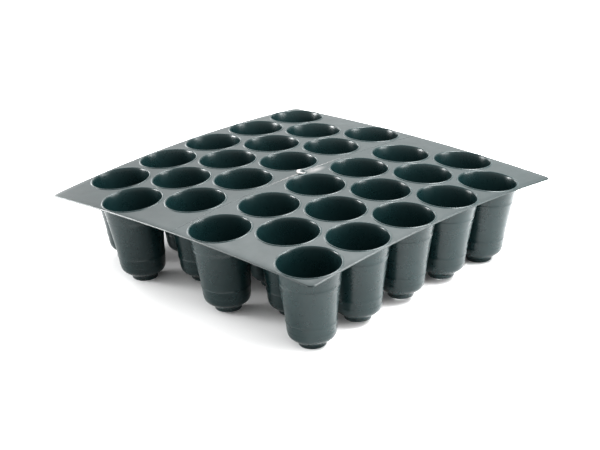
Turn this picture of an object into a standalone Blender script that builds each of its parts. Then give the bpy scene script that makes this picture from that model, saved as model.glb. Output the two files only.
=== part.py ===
"""Thirty-cell plug tray: a crowned square deck in two half fields, with round tapered cells hanging from it.

Metres, +Z up. X runs along the rows of cells and Y across them. The origin is at the centre of the tray's
footprint, on the floor that its lowest feet stand on.
"""

import math

import bmesh
import bpy
from mathutils.geometry import delaunay_2d_cdt

# Deck
DECK_SIDE = 0.328
DECK_THICK = 0.0015
DECK_CORNER = 0.005
CORNER_STEPS = 3
EDGE_STEP = 0.022
GAP = 0.0003

# Crown: how far the deck falls below its middle
CROWN_X = 0.0075
CROWN_Y = 0.0051
CROWN_TWIST = 0.0015

# Cell pattern: two fields of three staggered rows, either side of the seam
ROWS = "abcdef"
COLUMNS = 5
PITCH = 0.060
STAGGER = PITCH / 4
ROW_STEP = 0.0516
FIELD_GAP = 0.0111

# Cell: radius at each depth below the deck's top, outside and inside
CELL_SIDES = 16
HOLE_RADIUS = 0.0265
CELL_TOP = DECK_THICK + GAP
CELL_DEPTH = 0.0760
FLOOR_THICK = 0.0012
DRAIN_RADIUS = 0.005
OUTER_WALL = (
    (CELL_TOP, 0.0275),
    (0.0140, 0.0257),
    (0.0450, 0.0219),
    (0.0655, 0.0203),
    (0.0724, 0.0128),
    (CELL_DEPTH, 0.0120),
)
INNER_WALL = (
    (CELL_DEPTH - FLOOR_THICK, 0.0112),
    (0.0718, 0.0119),
    (0.0650, 0.0194),
    (0.0450, 0.0209),
    (0.0140, 0.0247),
    (CELL_TOP, HOLE_RADIUS),
)
# A foot that would hang less than this above the floor is made to reach it
SEAT_WITHIN = 0.0005

# Seam rib and gate stub
RIB_WIDTH = 0.0010
RIB_RISE = 0.0004
RIB_INSET = 0.0010
STUB_SIDES = 24
STUB_RADIUS = 0.0052
STUB_PIT_RADIUS = 0.0028
STUB_RISE = 0.0030
STUB_PIT_DEPTH = 0.0018

# Plastic
PLASTIC_COLOUR = (0.030, 0.042, 0.042, 1.0)
PLASTIC_ROUGHNESS = 0.38
SHARP_ANGLE = math.radians(40)


def fall(x, y):
    """How far the deck's top lies below its middle at (x, y)."""
    u = 2 * x / DECK_SIDE
    v = 2 * y / DECK_SIDE
    return CROWN_X * u * u + CROWN_Y * v * v - CROWN_TWIST * u * v


def slope(x, y):
    """The fall's slope along X and along Y at (x, y)."""
    u = 2 * x / DECK_SIDE
    v = 2 * y / DECK_SIDE
    along_x = (2 * CROWN_X * u - CROWN_TWIST * v) * 2 / DECK_SIDE
    along_y = (2 * CROWN_Y * v - CROWN_TWIST * u) * 2 / DECK_SIDE
    return along_x, along_y


def cell_centres():
    """Each cell's name and the middle of its hole."""
    centres = {}
    for j, row in enumerate(ROWS):
        side = 1 if j >= len(ROWS) // 2 else -1
        y = (j - (len(ROWS) - 1) / 2) * ROW_STEP + side * FIELD_GAP / 2
        shift = STAGGER if j % 2 else -STAGGER
        for i in range(COLUMNS):
            x = (i - (COLUMNS - 1) / 2) * PITCH + shift
            centres[f"{row}{i + 1}"] = (x, y)
    return centres


CENTRES = cell_centres()
DECK_TOP = CELL_DEPTH + max(fall(x, y) for x, y in CENTRES.values())


def deck_height(x, y):
    """The height of the deck's top at (x, y)."""
    return DECK_TOP - fall(x, y)


def clear_scene():
    for thing in list(bpy.data.objects):
        bpy.data.objects.remove(thing, do_unlink=True)


def plastic(name):
    material = bpy.data.materials.new(f"{name}_plastic")
    material.use_nodes = True
    shader = material.node_tree.nodes["Principled BSDF"]
    shader.inputs["Base Color"].default_value = PLASTIC_COLOUR
    shader.inputs["Roughness"].default_value = PLASTIC_ROUGHNESS
    shader.inputs["Metallic"].default_value = 0.0
    return material


def add_object(name, verts, faces):
    """One closed body with its faces turned outwards and its round sides smooth."""
    mesh = bpy.data.meshes.new(name)
    mesh.from_pydata(verts, [], faces)
    work = bmesh.new()
    work.from_mesh(mesh)
    bmesh.ops.recalc_face_normals(work, faces=work.faces)
    work.to_mesh(mesh)
    work.free()
    mesh.shade_smooth()
    mesh.set_sharp_from_angle(angle=SHARP_ANGLE)
    mesh.materials.append(plastic(name))
    thing = bpy.data.objects.new(name, mesh)
    bpy.context.scene.collection.objects.link(thing)
    return thing


def circle(x, y, radius, sides):
    """Points round a circle, half a step off the X axis so that flats face the neighbours."""
    points = []
    for k in range(sides):
        angle = 2 * math.pi * (k + 0.5) / sides
        points.append((x + radius * math.cos(angle), y + radius * math.sin(angle)))
    return points


def line_points(start, end, step):
    """Points from start up to, not including, end, no more than a step apart."""
    length = math.dist(start, end)
    count = max(1, math.ceil(length / step))
    points = []
    for k in range(count):
        t = k / count
        points.append((start[0] + (end[0] - start[0]) * t, start[1] + (end[1] - start[1]) * t))
    return points


def half_deck_outline(side):
    """The outline of one half deck, from the seam out to its two rounded corners."""
    edge = DECK_SIDE / 2
    inner = side * (RIB_WIDTH / 2 + GAP)
    turn = edge - DECK_CORNER
    points = line_points((-edge, inner), (-edge, side * turn), EDGE_STEP)
    for k in range(CORNER_STEPS):
        angle = math.pi / 2 * k / CORNER_STEPS
        x = -turn - DECK_CORNER * math.cos(angle)
        points.append((x, side * (turn + DECK_CORNER * math.sin(angle))))
    points += line_points((-turn, side * edge), (turn, side * edge), EDGE_STEP)
    for k in range(CORNER_STEPS):
        angle = math.pi / 2 * k / CORNER_STEPS
        x = turn + DECK_CORNER * math.sin(angle)
        points.append((x, side * (turn + DECK_CORNER * math.cos(angle))))
    points += line_points((edge, side * turn), (edge, inner), EDGE_STEP)
    points += line_points((edge, inner), (-edge, inner), EDGE_STEP)
    return points


def add_half_deck(name, side):
    """Half of the deck plate, with its fifteen holes, bent to the crown."""
    holes = [centre for centre in CENTRES.values() if centre[1] * side > 0]
    loops = [half_deck_outline(side)]
    loops += [circle(x, y, HOLE_RADIUS, CELL_SIDES) for x, y in holes]
    flat = []
    rims = []
    for loop in loops:
        first = len(flat)
        flat += loop
        rims += [(first + k, first + (k + 1) % len(loop)) for k in range(len(loop))]
    points, _, triangles, *_ = delaunay_2d_cdt(flat, rims, [], 1, 1e-7)
    kept = []
    for triangle in triangles:
        mid_x = sum(points[k][0] for k in triangle) / 3
        mid_y = sum(points[k][1] for k in triangle) / 3
        if all(math.dist((mid_x, mid_y), hole) > HOLE_RADIUS * 0.9 for hole in holes):
            kept.append(tuple(triangle))
    top = [(x, y, deck_height(x, y)) for x, y in points]
    under = [(x, y, z - DECK_THICK) for x, y, z in top]
    count = len(top)
    faces = list(kept)
    faces += [tuple(count + k for k in reversed(triangle)) for triangle in kept]
    used = {}
    for triangle in kept:
        for a, b in zip(triangle, triangle[1:] + triangle[:1]):
            used[(a, b)] = True
    for a, b in used:
        if (b, a) not in used:
            faces.append((b, a, count + a, count + b))
    return add_object(name, top + under, faces)


def ring_points(x, y, depth, radius, lift):
    """One ring of a cell: in the deck's own surface at the top, level at the foot, its middle on the axis."""
    along_x, along_y = slope(x, y)
    share = depth / CELL_DEPTH
    middle = deck_height(x, y)
    points = []
    for rim_x, rim_y in circle(x, y, radius, CELL_SIDES):
        rim = deck_height(rim_x, rim_y)
        points.append((
            rim_x - along_x * depth,
            rim_y - along_y * depth,
            rim * (1 - share) + middle * share - depth - lift * share,
        ))
    return points


def add_cell(name, x, y):
    """One cell, hanging square to the deck: a tapered cup with a shoulder, a narrow foot and a drain hole."""
    height = deck_height(x, y) - CELL_DEPTH
    lift = height if height < SEAT_WITHIN else 0.0
    drain = ((CELL_DEPTH, DRAIN_RADIUS), (CELL_DEPTH - FLOOR_THICK, DRAIN_RADIUS))
    profile = OUTER_WALL + drain + INNER_WALL
    verts = []
    for depth, radius in profile:
        verts += ring_points(x, y, depth, radius, lift)
    faces = []
    for p in range(len(profile)):
        here = p * CELL_SIDES
        there = (p + 1) % len(profile) * CELL_SIDES
        for k in range(CELL_SIDES):
            after = (k + 1) % CELL_SIDES
            faces.append((here + k, here + after, there + after, there + k))
    return add_object(name, verts, faces)


def add_seam_rib():
    """The thin raised line between the two half decks, bent to the crown."""
    end = DECK_SIDE / 2 - RIB_INSET
    stations = [x for x, _ in line_points((-end, 0), (end, 0), EDGE_STEP)] + [end]
    half = RIB_WIDTH / 2
    verts = []
    for x in stations:
        top = deck_height(x, 0) + RIB_RISE
        under = deck_height(x, 0) - DECK_THICK
        verts += [(x, -half, under), (x, half, under), (x, half, top), (x, -half, top)]
    faces = [(0, 1, 2, 3)]
    for s in range(len(stations) - 1):
        first = 4 * s
        for k in range(4):
            after = (k + 1) % 4
            faces.append((first + k, first + after, first + 4 + after, first + 4 + k))
    last = 4 * (len(stations) - 1)
    faces.append((last, last + 1, last + 2, last + 3))
    return add_object("seam_rib", verts, faces)


def add_gate_stub():
    """The short round stub at the deck's middle, with a pit in its top."""
    base = DECK_TOP + RIB_RISE + GAP
    top = DECK_TOP + STUB_RISE
    profile = (
        (STUB_RADIUS, base),
        (STUB_RADIUS * 0.92, top),
        (STUB_PIT_RADIUS, top),
        (STUB_PIT_RADIUS * 0.8, top - STUB_PIT_DEPTH),
    )
    verts = []
    for radius, z in profile:
        verts += [(x, y, z) for x, y in circle(0, 0, radius, STUB_SIDES)]
    faces = [tuple(range(STUB_SIDES))]
    for p in range(len(profile) - 1):
        here = p * STUB_SIDES
        there = here + STUB_SIDES
        for k in range(STUB_SIDES):
            after = (k + 1) % STUB_SIDES
            faces.append((here + k, here + after, there + after, there + k))
    last = (len(profile) - 1) * STUB_SIDES
    faces.append(tuple(range(last, last + STUB_SIDES)))
    return add_object("gate_stub", verts, faces)


def build():
    clear_scene()
    add_half_deck("deck_front", -1)
    add_half_deck("deck_rear", 1)
    for label, (x, y) in CENTRES.items():
        add_cell(f"cell_{label}", x, y)
    add_seam_rib()
    add_gate_stub()


build()
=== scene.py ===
import math
import random

import bmesh
import bpy
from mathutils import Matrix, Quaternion, Vector
from mathutils.geometry import delaunay_2d_cdt


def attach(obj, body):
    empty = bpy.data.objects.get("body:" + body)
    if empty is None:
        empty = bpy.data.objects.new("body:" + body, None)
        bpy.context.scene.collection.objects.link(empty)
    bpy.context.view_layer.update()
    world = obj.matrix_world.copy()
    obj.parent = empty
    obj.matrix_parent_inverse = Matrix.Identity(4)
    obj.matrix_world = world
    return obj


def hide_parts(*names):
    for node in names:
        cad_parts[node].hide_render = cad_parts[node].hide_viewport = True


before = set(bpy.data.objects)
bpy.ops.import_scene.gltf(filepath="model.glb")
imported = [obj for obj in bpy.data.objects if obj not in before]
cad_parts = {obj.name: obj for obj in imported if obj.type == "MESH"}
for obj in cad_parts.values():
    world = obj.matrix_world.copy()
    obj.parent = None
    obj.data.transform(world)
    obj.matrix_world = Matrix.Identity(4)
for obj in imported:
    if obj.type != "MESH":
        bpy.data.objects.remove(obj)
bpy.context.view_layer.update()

# A thirty-cell plug tray in one dark green-grey moulded plastic. Metres, +Z up, the CAD frame.

# Deck, as in the CAD, and how far its crown falls below the middle
DECK_SIDE = 0.328
DECK_THICK = 0.0015
DECK_CORNER = 0.005
CROWN_X = 0.0075
CROWN_Y = 0.0051
CROWN_TWIST = 0.0015

# The deck's outer edge, drafted and rounded: the top's inset, then inset and drop down to the underside
EDGE_INSET = 0.0006
EDGE_SECTION = (
    (0.00040, 0.00005),
    (0.00028, 0.00020),
    (0.00006, 0.00105),
    (0.0, 0.00125),
    (0.00006, 0.00142),
)

# Cell pattern, as in the CAD
ROWS = "abcdef"
COLUMNS = 5
PITCH = 0.060
STAGGER = PITCH / 4
ROW_STEP = 0.0516
FIELD_GAP = 0.0111
CELL_DEPTH = 0.0760
# A foot that would hang less than this above the floor is made to reach it
SEAT_WITHIN = 0.0005

# How finely the visible meshes are cut. A fillet takes less than half of the straights beside it
CELL_SIDES = 72
FILLET_STEPS = 4
FILLET_SHARE = 0.48
CORNER_STEPS = 8
EDGE_STEPS = 46

# The deck's inner points are a square grid that keeps clear of the holes
GRID_STEP = 0.007
GRID_CLEAR = 0.0016
INSIDE_OUTLINE = 1
SAME_POINT = 1e-7
DECK_SHARP = math.radians(50)

# The deck's holes stop under the lips of the cells. Any triangle with its middle within HOLE_SHARE of a
# hole's radius lies across the hole
HOLE_RADIUS = 0.0274
HOLE_SHARE = 0.99
LIP_RISE = 0.00050

# Cell wall from within the deck's thickness down to the foot and back up inside: depth, radius and fillet
OUTER_WALL = (
    (0.0012, 0.0289, 0.0),
    (0.0022, 0.0277, 0.0008),
    (0.0140, 0.0257, 0.0020),
    (0.0450, 0.0220, 0.0040),
    (0.0580, 0.0211, 0.0020),
    (0.0664, 0.0202, 0.0030),
    (0.0725, 0.0121, 0.0008),
    (CELL_DEPTH, 0.0116, 0.0008),
)
INNER_WALL = (
    (CELL_DEPTH, 0.0050, 0.0004),
    (0.0748, 0.0050, 0.0004),
    (0.0748, 0.0110, 0.0006),
    (0.0716, 0.0117, 0.0010),
    (0.0656, 0.0193, 0.0030),
    (0.0575, 0.0201, 0.0020),
    (0.0450, 0.0210, 0.0040),
    (0.0140, 0.0247, 0.0020),
    (0.0028, 0.0260, 0.0012),
)
# The rounded lip from inside the cell over the edge of the hole: depth and radius
LIP = (
    (0.00100, 0.02645),
    (0.00030, 0.02665),
    (-0.00022, 0.02690),
    (-0.00044, 0.02725),
    (-LIP_RISE, 0.02765),
    (-0.00042, 0.02805),
    (-0.00018, 0.02840),
    (0.00012, 0.02862),
    (0.00060, 0.02870),
)
# Faint rings round the outside: depth and how far each stands out, then their common section (offset in
# depth and share of the height) and how far the wall's own points keep clear of them
WALL_RINGS = ((0.0160, 0.00032), (0.0525, 0.00030), (0.0605, 0.00018))
RING_SECTION = ((-0.0010, 0.0), (-0.0008, 0.15), (-0.0003, 0.85), (0.0, 1.0), (0.0020, 0.0))
RING_CLEAR = 0.0021

# Seam: a fine line with small dots, which fade away from the gate. Its section is in shares of the half
# width and of the rise, and a dot's half length is a share of the dots' step
SEAM_INSET = 0.0015
SEAM_STEPS = 1304
SEAM_HALF_WIDTH = 0.00045
SEAM_RISE = 0.00012
SEAM_SECTION = ((-1.0, -0.4), (-0.7, 0.55), (0.0, 1.0), (0.7, 0.55), (1.0, -0.4))
SEAM_SHARP = math.radians(60)
SEAM_DOT_STEP = 0.008
SEAM_DOT_RISE = 0.00055
SEAM_DOT_SPREAD = 1.0
SEAM_DOT_HALF = 0.11
SEAM_CLEAREST = 0.045
SEAM_FAINTEST = 0.15

# Gate stub: a torn ring, taller on one side. Each row is a share of the radius, a share of the height
# and an offset in height
STUB_RADIUS = 0.0050
STUB_RISE = 0.0023
STUB_RINGS = (
    (1.12, 0.00, -0.0003),
    (1.02, 0.06, 0.0),
    (0.97, 0.55, 0.0),
    (0.93, 0.88, 0.0),
    (0.86, 1.00, 0.0),
    (0.68, 0.97, 0.0),
    (0.58, 0.80, 0.0),
    (0.50, 0.35, 0.0),
    (0.30, 0.22, 0.0),
)
STUB_SIDES = 48
STUB_SHARP = math.radians(45)
STUB_SEED = 7
STUB_TEARS = 12
STUB_LEAST = 0.36
STUB_TILT = 0.52
STUB_TILT_TURN = math.radians(60)
STUB_RAGGED = 0.12
STUB_UNROUND = 0.05
# The stub whitens between two heights above the deck where it tore; a painted highlight makes it palest on
# its side towards -X, fading out between two places along X
STUB_WHITE_HEIGHTS = (0.0002, 0.0012)
STUB_HIGHLIGHT_SIDES = (-0.0025, 0.0020)

# Camera, with its lens and sensor in millimetres, and the contrast of its picture
CAMERA_PLACE = (-0.9134, -0.8751, 0.5456)
CAMERA_AIM = (-0.0211, -0.0161, 0.0416)
CAMERA_ROLL = math.radians(-1.65)
CAMERA_LENS = 87.26
CAMERA_SENSOR = 36.0
CAMERA_NEAR = 0.01
PICTURE_GAMMA = 0.83

# Softboxes, all aimed at the tray from the same distance: degrees to the right of the camera's
# heading, degrees above the floor, size and watts
TRAY_MIDDLE = 0.05
LIGHT_DISTANCE = 2.4
WORLD_LEVEL = 1.75
TALL = (0.5, 0.9)
WIDE = (1.1, 0.6)
HIGH = (1.3, 0.8)
SOFTBOXES = (
    ("left_softbox", -82, 10, WIDE, 38.0),
    ("left_tall_softbox", -82, 12, TALL, 45.0),
    ("high_left_softbox", -45, 25, HIGH, 14.0),
    ("far_left_softbox", -35, 12, WIDE, 14.0),
    ("far_softbox", 0, 40, HIGH, 13.0),
    ("high_right_softbox", 75, 35, HIGH, 14.0),
    ("right_tall_softbox", 95, 12, TALL, 24.0),
    ("right_softbox", 110, 10, WIDE, 28.0),
)
# More softboxes light the floor at the tray's right, which its right-hand walls mirror: degrees to
# the right of the camera's heading and watts
FLOOR_LIGHT_DISTANCE = 1.0
FLOOR_LIGHT_ELEVATION = 55
FLOOR_AIM = 0.34
SQUARE = (0.5, 0.5)
FLOOR_SOFTBOXES = (
    ("right_far_floor_softbox", 75, 17.0),
    ("right_near_floor_softbox", 115, 17.0),
)

FLOOR_HALF = 6.0
FLOOR_COLOUR = (0.80, 0.80, 0.80, 1.0)
FLOOR_ROUGHNESS = 0.9
FLOOR_SPECULAR = 0.2

# Plastic: its colours, its refraction and its noises, in features per metre, with the grain's height and
# the part of the noises' range that is used
PLASTIC_DARK = (0.0025, 0.0120, 0.0128)
PLASTIC_LIGHT = (0.0045, 0.0170, 0.0180)
DECK_DARK = (0.0045, 0.0112, 0.0117)
DECK_LIGHT = (0.0075, 0.0160, 0.0165)
# A pale colour: whitening on the gate stub's torn top, a painted highlight on the seam near the gate and
# on the stub's side towards -X, and a pale patch beside the gate
WHITENED_AND_HIGHLIGHT = (0.42, 0.39, 0.38)
PLASTIC_IOR = 1.43
DRIFT_SCALE = 34.0
GLOSS_SCALE = 85.0
GRAIN_SCALE = 900.0
GRAIN_HEIGHT = 0.0002
PALE_PATCH_SCALE = 420.0
NOISE_RANGE = (0.3, 0.7)

# A colour mix's sockets by number, because its sockets for plain numbers have the same names
MIX_FACTOR = 0
MIX_FIRST = 6
MIX_SECOND = 7
MIX_COLOUR = 2


# ---------------------------------------------------------------- shape of the tray


def fall(x, y):
    """How far the deck's top lies below its middle at (x, y)."""
    u = 2 * x / DECK_SIDE
    v = 2 * y / DECK_SIDE
    return CROWN_X * u * u + CROWN_Y * v * v - CROWN_TWIST * u * v


def slope(x, y):
    """The fall's slope along X and along Y at (x, y)."""
    u = 2 * x / DECK_SIDE
    v = 2 * y / DECK_SIDE
    along_x = (2 * CROWN_X * u - CROWN_TWIST * v) * 2 / DECK_SIDE
    along_y = (2 * CROWN_Y * v - CROWN_TWIST * u) * 2 / DECK_SIDE
    return along_x, along_y


def cell_centres():
    """Each cell's name and the middle of its hole."""
    centres = {}
    for j, row in enumerate(ROWS):
        side = 1 if j >= len(ROWS) // 2 else -1
        y = (j - (len(ROWS) - 1) / 2) * ROW_STEP + side * FIELD_GAP / 2
        shift = STAGGER if j % 2 else -STAGGER
        for i in range(COLUMNS):
            centres[f"{row}{i + 1}"] = ((i - (COLUMNS - 1) / 2) * PITCH + shift, y)
    return centres


CENTRES = cell_centres()
DECK_TOP = CELL_DEPTH + max(fall(x, y) for x, y in CENTRES.values())


def deck_height(x, y):
    return DECK_TOP - fall(x, y)


# ---------------------------------------------------------------- mesh helpers


def new_piece(name, verts, faces, material, nodes, sharp=None):
    """A smooth mesh that stands for the CAD nodes named and rides on the tray's one body."""
    mesh = bpy.data.meshes.new(name)
    mesh.from_pydata(verts, [], faces)
    work = bmesh.new()
    work.from_mesh(mesh)
    bmesh.ops.recalc_face_normals(work, faces=work.faces)
    work.to_mesh(mesh)
    work.free()
    mesh.shade_smooth()
    if sharp is not None:
        mesh.set_sharp_from_angle(angle=sharp)
    mesh.materials.append(material)
    piece = bpy.data.objects.new(name, mesh)
    bpy.context.scene.collection.objects.link(piece)
    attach(piece, "root")
    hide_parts(*nodes)
    return piece


def circle(x, y, radius, sides):
    points = []
    for k in range(sides):
        angle = 2 * math.pi * k / sides
        points.append((x + radius * math.cos(angle), y + radius * math.sin(angle)))
    return points


def bridge(first, second, count):
    """Quads between two closed rings of count points each."""
    return [
        (first + k, first + (k + 1) % count, second + (k + 1) % count, second + k)
        for k in range(count)
    ]


def filleted(profile):
    """The profile with each corner that has a fillet turned into a short curve."""
    points = []
    for k, (depth, radius, fillet) in enumerate(profile):
        corner = Vector((depth, radius))
        if fillet <= 0 or k in (0, len(profile) - 1):
            points.append(corner)
            continue
        before = Vector(profile[k - 1][:2]) - corner
        after = Vector(profile[k + 1][:2]) - corner
        reach = min(fillet, before.length * FILLET_SHARE, after.length * FILLET_SHARE)
        start = corner + before.normalized() * reach
        end = corner + after.normalized() * reach
        for step in range(FILLET_STEPS + 1):
            t = step / FILLET_STEPS
            points.append(start * (1 - t) ** 2 + corner * 2 * t * (1 - t) + end * t * t)
    return [tuple(point) for point in points]


# ---------------------------------------------------------------- cells


def with_rings(wall):
    """The outer wall, top to bottom, with its faint raised rings worked in."""
    points = list(wall)
    for ring_depth, rise in WALL_RINGS:
        points = [point for point in points if abs(point[0] - ring_depth) > RING_CLEAR]
        above = max(point for point in points if point[0] < ring_depth)
        below = min(point for point in points if point[0] > ring_depth)
        for offset, share in RING_SECTION:
            depth = ring_depth + offset
            t = (depth - above[0]) / (below[0] - above[0])
            points.append((depth, above[1] + (below[1] - above[1]) * t + rise * share))
        points.sort()
    return points


def cell_profile():
    """The closed outline of a cell: down the outside, up the inside and over the lip."""
    wall = filleted(OUTER_WALL + INNER_WALL)
    foot = max(range(len(wall)), key=lambda k: wall[k][0])
    return with_rings(wall[:foot]) + wall[foot:] + list(LIP)


def add_cell(label, x, y, profile, material):
    """One thin-walled cup: lip over the deck, tapered wall, rounded shoulder, foot with a drain hole."""
    along_x, along_y = slope(x, y)
    middle = deck_height(x, y)
    height = middle - CELL_DEPTH
    lift = height if height < SEAT_WITHIN else 0.0
    verts = []
    for depth, radius in profile:
        share = max(depth, 0) / CELL_DEPTH
        for rim_x, rim_y in circle(x, y, radius, CELL_SIDES):
            rim = deck_height(rim_x, rim_y)
            verts.append((
                rim_x - along_x * depth,
                rim_y - along_y * depth,
                rim * (1 - share) + middle * share - depth - lift * share,
            ))
    faces = []
    for p in range(len(profile)):
        faces += bridge(p * CELL_SIDES, (p + 1) % len(profile) * CELL_SIDES, CELL_SIDES)
    return new_piece(f"cell_{label}_cup", verts, faces, material, [f"cell_{label}"])


# ---------------------------------------------------------------- deck


def rounded_square(inset):
    """The deck's outline, inset by a distance, with evenly spread points."""
    half = DECK_SIDE / 2 - inset
    turn = DECK_SIDE / 2 - DECK_CORNER
    radius = half - turn
    corners = ((turn, turn, 0), (-turn, turn, 1), (-turn, -turn, 2), (turn, -turn, 3))
    points = []
    for centre_x, centre_y, quarter in corners:
        for k in range(CORNER_STEPS + 1):
            angle = math.pi / 2 * (quarter + k / CORNER_STEPS)
            points.append((centre_x + radius * math.cos(angle), centre_y + radius * math.sin(angle)))
        last = points[-1]
        angle = math.pi / 2 * (quarter + 1)
        next_x, next_y, _ = corners[(quarter + 1) % 4]
        end = (next_x + radius * math.cos(angle), next_y + radius * math.sin(angle))
        for k in range(1, EDGE_STEPS):
            t = k / EDGE_STEPS
            points.append((last[0] + (end[0] - last[0]) * t, last[1] + (end[1] - last[1]) * t))
    return points


def deck_surface():
    """The deck laid flat: its points, its triangles and how many of the points are its outline."""
    loops = [rounded_square(EDGE_INSET)]
    loops += [circle(x, y, HOLE_RADIUS, CELL_SIDES) for x, y in CENTRES.values()]
    points = []
    edges = []
    for loop in loops:
        first = len(points)
        points += loop
        edges += [(first + k, first + (k + 1) % len(loop)) for k in range(len(loop))]
    reach = DECK_SIDE / 2 - GRID_STEP
    steps = int(2 * reach / GRID_STEP)
    for a in range(steps + 1):
        for b in range(steps + 1):
            spot = (-reach + a * 2 * reach / steps, -reach + b * 2 * reach / steps)
            if all(math.dist(spot, hole) > HOLE_RADIUS + GRID_CLEAR for hole in CENTRES.values()):
                points.append(spot)
    points, _, triangles, *_ = delaunay_2d_cdt(points, edges, [], INSIDE_OUTLINE, SAME_POINT)
    kept = []
    for triangle in triangles:
        middle = sum((points[k] for k in triangle), Vector((0, 0))) / 3
        if all(math.dist(middle, hole) > HOLE_RADIUS * HOLE_SHARE for hole in CENTRES.values()):
            kept.append(tuple(triangle))
    return points, kept, len(loops[0])


def add_deck(material):
    """The crowned plate with its holes and a rounded outer edge."""
    points, triangles, outline = deck_surface()
    top = [(x, y, deck_height(x, y)) for x, y in points]
    under = [(x, y, z - DECK_THICK) for x, y, z in top]
    verts = top + under
    count = len(top)
    faces = list(triangles)
    faces += [tuple(count + k for k in reversed(triangle)) for triangle in triangles]
    sides = {(a, b) for t in triangles for a, b in zip(t, t[1:] + t[:1])}
    for a, b in sides:
        if (b, a) not in sides and min(a, b) >= outline:
            faces.append((b, a, count + a, count + b))
    ring = 0
    for inset, drop in EDGE_SECTION:
        start = len(verts)
        verts += [(x, y, deck_height(x, y) - drop) for x, y in rounded_square(inset)]
        faces += bridge(ring, start, outline)
        ring = start
    faces += bridge(ring, count, outline)
    return new_piece("deck_plate", verts, faces, material, ["deck_front", "deck_rear"], DECK_SHARP)


# ---------------------------------------------------------------- seam and gate


def add_seam(material):
    """The fine raised line across the deck, beaded with small dots."""
    end = DECK_SIDE / 2 - SEAM_INSET
    verts = []
    for k in range(SEAM_STEPS + 1):
        x = -end + 2 * end * k / SEAM_STEPS
        phase = (x / SEAM_DOT_STEP) % 1.0
        bead = max(0.0, 1 - (abs(phase - 0.5) / SEAM_DOT_HALF) ** 2)
        nearness = SEAM_FAINTEST + (1 - SEAM_FAINTEST) * math.exp(-((x / SEAM_CLEAREST) ** 2))
        rise = SEAM_RISE + (SEAM_DOT_RISE - SEAM_RISE) * bead * nearness
        half = SEAM_HALF_WIDTH * (1 + SEAM_DOT_SPREAD * bead * nearness)
        for across, up in SEAM_SECTION:
            z = deck_height(x, 0) + (rise * up if up > 0 else SEAM_RISE * up)
            verts.append((x, across * half, z))
    width = len(SEAM_SECTION)
    faces = [tuple(range(width))]
    for k in range(SEAM_STEPS):
        faces += bridge(k * width, (k + 1) * width, width)
    faces.append(tuple(SEAM_STEPS * width + k for k in range(width)))
    return new_piece("seam_line", verts, faces, material, ["seam_rib"], SEAM_SHARP)


def add_stub(material):
    """The torn stub that the gate left: a low uneven ring round a pit."""
    rand = random.Random(STUB_SEED)
    tears = [rand.uniform(-1, 1) for _ in range(STUB_TEARS)]
    verts = []
    for share, level, offset in STUB_RINGS:
        for k in range(STUB_SIDES):
            angle = 2 * math.pi * k / STUB_SIDES
            along = k / STUB_SIDES * STUB_TEARS
            a = tears[int(along) % STUB_TEARS]
            b = tears[(int(along) + 1) % STUB_TEARS]
            mix = along - int(along)
            wave = a * (1 - mix) + b * mix
            high_side = 0.5 - 0.5 * math.cos(angle + STUB_TILT_TURN)
            tall = STUB_RISE * (STUB_LEAST + STUB_TILT * high_side + STUB_RAGGED * wave)
            radius = STUB_RADIUS * share * (1 + STUB_UNROUND * wave)
            x = radius * math.cos(angle)
            y = radius * math.sin(angle)
            verts.append((x, y, deck_height(x, y) + tall * level + offset))
    faces = []
    last = (len(STUB_RINGS) - 1) * STUB_SIDES
    for first in range(0, last, STUB_SIDES):
        faces += bridge(first, first + STUB_SIDES, STUB_SIDES)
    faces.append(tuple(last + k for k in range(STUB_SIDES)))
    faces.append(tuple(reversed(range(STUB_SIDES))))
    return new_piece("gate_stub_torn", verts, faces, material, ["gate_stub"], STUB_SHARP)


# ---------------------------------------------------------------- materials


def node(tree, kind, **inputs):
    """A shader node with some of its inputs set. Spaces in input names are written as underscores."""
    made = tree.nodes.new(kind)
    for name, value in inputs.items():
        made.inputs[name.replace("_", " ")].default_value = value
    return made


def join(tree, source, output, target, slot):
    tree.links.new(source.outputs[output], target.inputs[slot])


def noise(tree, coords, scale, detail, roughness):
    made = node(tree, "ShaderNodeTexNoise", Scale=scale, Detail=detail, Roughness=roughness)
    join(tree, coords, "Object", made, "Vector")
    return made


def mapped(tree, source, output, given, wanted):
    """A value moved from one range to another, each given by its two ends, and kept within it."""
    made = node(
        tree,
        "ShaderNodeMapRange",
        From_Min=given[0],
        From_Max=given[1],
        To_Min=wanted[0],
        To_Max=wanted[1],
    )
    join(tree, source, output, made, "Value")
    return made


def mixed(tree, factor, output, first, second):
    """A colour mix. first and second are colours, or (node, output) pairs."""
    made = tree.nodes.new("ShaderNodeMix")
    made.data_type = "RGBA"
    join(tree, factor, output, made, MIX_FACTOR)
    for slot, value in ((MIX_FIRST, first), (MIX_SECOND, second)):
        if isinstance(value[0], bpy.types.Node):
            join(tree, *value, made, slot)
        else:
            made.inputs[slot].default_value = (*value, 1.0)
    return made


def vector_math(tree, operation, source, output, second=None):
    """A vector operation on one linked vector and, where it needs one, a fixed second vector."""
    made = tree.nodes.new("ShaderNodeVectorMath")
    made.operation = operation
    join(tree, source, output, made, 0)
    if second is not None:
        made.inputs[1].default_value = second
    return made


def product(tree, first, first_output, second, second_output):
    made = tree.nodes.new("ShaderNodeMath")
    made.operation = "MULTIPLY"
    join(tree, first, first_output, made, 0)
    join(tree, second, second_output, made, 1)
    return made


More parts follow.
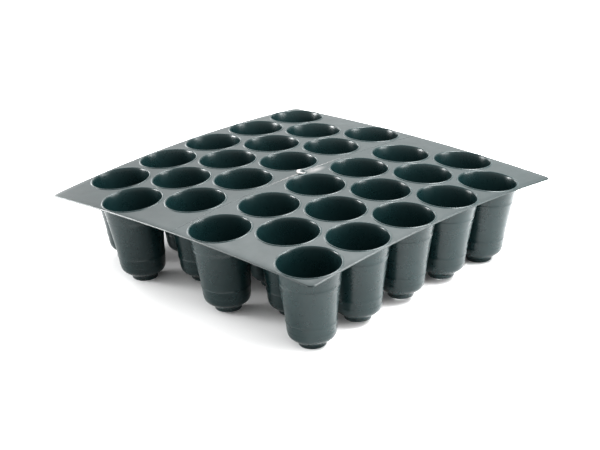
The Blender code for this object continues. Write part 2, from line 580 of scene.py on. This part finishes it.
def moulded_plastic(name, dark=PLASTIC_DARK, light=PLASTIC_LIGHT, roughness=(0.25, 0.32), grain=0.04):
    """Dark satin plastic: slow colour drift, uneven gloss and a fine moulded grain."""
    material = bpy.data.materials.new(name)
    material.use_nodes = True
    tree = material.node_tree
    shader = tree.nodes["Principled BSDF"]
    shader.inputs["IOR"].default_value = PLASTIC_IOR
    coords = tree.nodes.new("ShaderNodeTexCoord")
    drift = noise(tree, coords, DRIFT_SCALE, detail=4.0, roughness=0.6)
    tint = mapped(tree, drift, "Fac", NOISE_RANGE, (0.0, 1.0))
    colour = mixed(tree, tint, "Result", dark, light)
    join(tree, colour, MIX_COLOUR, shader, "Base Color")
    patches = noise(tree, coords, GLOSS_SCALE, detail=5.0, roughness=0.65)
    gloss = mapped(tree, patches, "Fac", NOISE_RANGE, roughness)
    join(tree, gloss, "Result", shader, "Roughness")
    fine = noise(tree, coords, GRAIN_SCALE, detail=2.0, roughness=0.5)
    bump = node(tree, "ShaderNodeBump", Strength=grain, Distance=GRAIN_HEIGHT)
    join(tree, fine, "Fac", bump, "Height")
    join(tree, bump, "Normal", shader, "Normal")
    return material


def main_parts(material):
    """A moulded plastic's node tree, shader, coordinates and the colour mix that feeds its base colour."""
    tree = material.node_tree
    shader = tree.nodes["Principled BSDF"]
    coords = next(n for n in tree.nodes if n.type == "TEX_COORD")
    base = shader.inputs["Base Color"].links[0].from_node
    return tree, shader, coords, base


def pale_patch_and_highlight_near(material, centre, stretch, near, far, amount):
    """Pale a plastic round a point, as a pale patch on the deck and as a painted highlight on the seam:
    fully within one reach, not at all beyond the other.
    """
    tree, shader, coords, base = main_parts(material)
    place = vector_math(tree, "SUBTRACT", coords, "Object", centre)
    squash = vector_math(tree, "MULTIPLY", place, "Vector", stretch)
    reach = vector_math(tree, "LENGTH", squash, "Vector")
    pale_falloff = mapped(tree, reach, "Value", (near, far), (amount, 0.0))
    patch = noise(tree, coords, PALE_PATCH_SCALE, detail=3.0, roughness=0.6)
    patchy_pale = product(tree, pale_falloff, "Result", patch, "Fac")
    colour = mixed(tree, patchy_pale, "Value", (base, MIX_COLOUR), WHITENED_AND_HIGHLIGHT)
    join(tree, colour, MIX_COLOUR, shader, "Base Color")


def deck_plastic():
    """The deck's plastic: a little greyer than the cells, with a pale patch beside the gate."""
    material = moulded_plastic("deck_plastic", DECK_DARK, DECK_LIGHT, roughness=(0.29, 0.37))
    beside_gate = (0.013, -0.0050, DECK_TOP)
    pale_patch_and_highlight_near(material, beside_gate, stretch=(1.0, 2.4, 0.0), near=0.002, far=0.014, amount=0.50)
    return material


def seam_plastic():
    """The seam's plastic: glossier than the deck, with a painted highlight that pales it towards the gate.
    """
    material = moulded_plastic("seam_plastic", DECK_DARK, DECK_LIGHT, roughness=(0.22, 0.30))
    gate = (0.0, 0.0, DECK_TOP)
    # Painted highlight: the seam and its dots pale towards the gate
    pale_patch_and_highlight_near(material, gate, stretch=(1.0, 1.0, 0.0), near=0.020, far=0.060, amount=0.60)
    return material


def stub_plastic():
    """Torn plastic: whitened where it broke, with a painted highlight on its side towards -X, dark in the
    pit.
    """
    material = moulded_plastic("gate_plastic", roughness=(0.30, 0.55), grain=0.5)
    tree, shader, coords, base = main_parts(material)
    apart = tree.nodes.new("ShaderNodeSeparateXYZ")
    join(tree, coords, "Object", apart, 0)
    heights = tuple(DECK_TOP + height for height in STUB_WHITE_HEIGHTS)
    high = mapped(tree, apart, "Z", heights, (0.0, 0.9))
    # Painted highlight: the stub's pale top is brightest on its side towards -X
    highlight_side = mapped(tree, apart, "X", STUB_HIGHLIGHT_SIDES, (1.0, 0.12))
    whitened_and_highlight = product(tree, high, "Result", highlight_side, "Result")
    colour = mixed(tree, whitened_and_highlight, "Value", (base, MIX_COLOUR), WHITENED_AND_HIGHLIGHT)
    join(tree, colour, MIX_COLOUR, shader, "Base Color")
    return material


def floor_paper():
    material = bpy.data.materials.new("floor_paper")
    material.use_nodes = True
    shader = material.node_tree.nodes["Principled BSDF"]
    shader.inputs["Base Color"].default_value = FLOOR_COLOUR
    shader.inputs["Roughness"].default_value = FLOOR_ROUGHNESS
    shader.inputs["Specular IOR Level"].default_value = FLOOR_SPECULAR
    return material


# ---------------------------------------------------------------- stage, light and camera


def add_floor():
    mesh = bpy.data.meshes.new("floor")
    corners = [(x * FLOOR_HALF, y * FLOOR_HALF, 0) for x, y in ((-1, -1), (1, -1), (1, 1), (-1, 1))]
    mesh.from_pydata(corners, [], [(0, 1, 2, 3)])
    mesh.materials.append(floor_paper())
    floor = bpy.data.objects.new("floor", mesh)
    bpy.context.scene.collection.objects.link(floor)


def add_world(strength):
    world = bpy.data.worlds.new("studio")
    bpy.context.scene.world = world
    world.use_nodes = True
    sky = world.node_tree.nodes["Background"]
    sky.inputs["Color"].default_value = (1.0, 1.0, 1.0, 1.0)
    sky.inputs["Strength"].default_value = strength


def round_tray(azimuth, elevation, distance):
    """A point round the tray, at an azimuth in degrees to the right of the camera's heading."""
    heading = Vector(CAMERA_AIM) - Vector(CAMERA_PLACE)
    turn = math.atan2(heading.y, heading.x) - math.radians(azimuth)
    level = math.radians(elevation)
    reach = distance * math.cos(level)
    return Vector((reach * math.cos(turn), reach * math.sin(turn), distance * math.sin(level)))


def add_softbox(name, place, aim, size, power):
    light = bpy.data.lights.new(name, "AREA")
    light.shape = "RECTANGLE"
    light.size, light.size_y = size
    light.energy = power
    lamp = bpy.data.objects.new(name, light)
    lamp.location = place
    lamp.rotation_mode = "QUATERNION"
    lamp.rotation_quaternion = (aim - place).to_track_quat("-Z", "Y")
    lamp.visible_camera = False
    bpy.context.scene.collection.objects.link(lamp)


def add_lights():
    add_world(WORLD_LEVEL)
    tray = Vector((0.0, 0.0, TRAY_MIDDLE))
    for name, azimuth, elevation, size, power in SOFTBOXES:
        add_softbox(name, round_tray(azimuth, elevation, LIGHT_DISTANCE), tray, size, power)
    for name, azimuth, power in FLOOR_SOFTBOXES:
        place = round_tray(azimuth, FLOOR_LIGHT_ELEVATION, FLOOR_LIGHT_DISTANCE)
        add_softbox(name, place, round_tray(azimuth, 0, FLOOR_AIM), SQUARE, power)


def add_camera():
    data = bpy.data.cameras.new("camera")
    data.lens = CAMERA_LENS
    data.sensor_width = CAMERA_SENSOR
    data.clip_start = CAMERA_NEAR
    camera = bpy.data.objects.new("camera", data)
    camera.location = CAMERA_PLACE
    camera.rotation_mode = "QUATERNION"
    look = (Vector(CAMERA_AIM) - Vector(CAMERA_PLACE)).to_track_quat("-Z", "Y")
    camera.rotation_quaternion = look @ Quaternion((0, 0, 1), CAMERA_ROLL)
    bpy.context.scene.collection.objects.link(camera)
    bpy.context.scene.camera = camera


def build():
    view = bpy.context.scene.view_settings
    view.view_transform = "Standard"
    view.gamma = PICTURE_GAMMA
    add_camera()
    add_lights()
    add_floor()
    wall = moulded_plastic("cell_plastic")
    profile = cell_profile()
    for label, (x, y) in CENTRES.items():
        add_cell(label, x, y, profile, wall)
    add_deck(deck_plastic())
    add_seam(seam_plastic())
    add_stub(stub_plastic())


build()
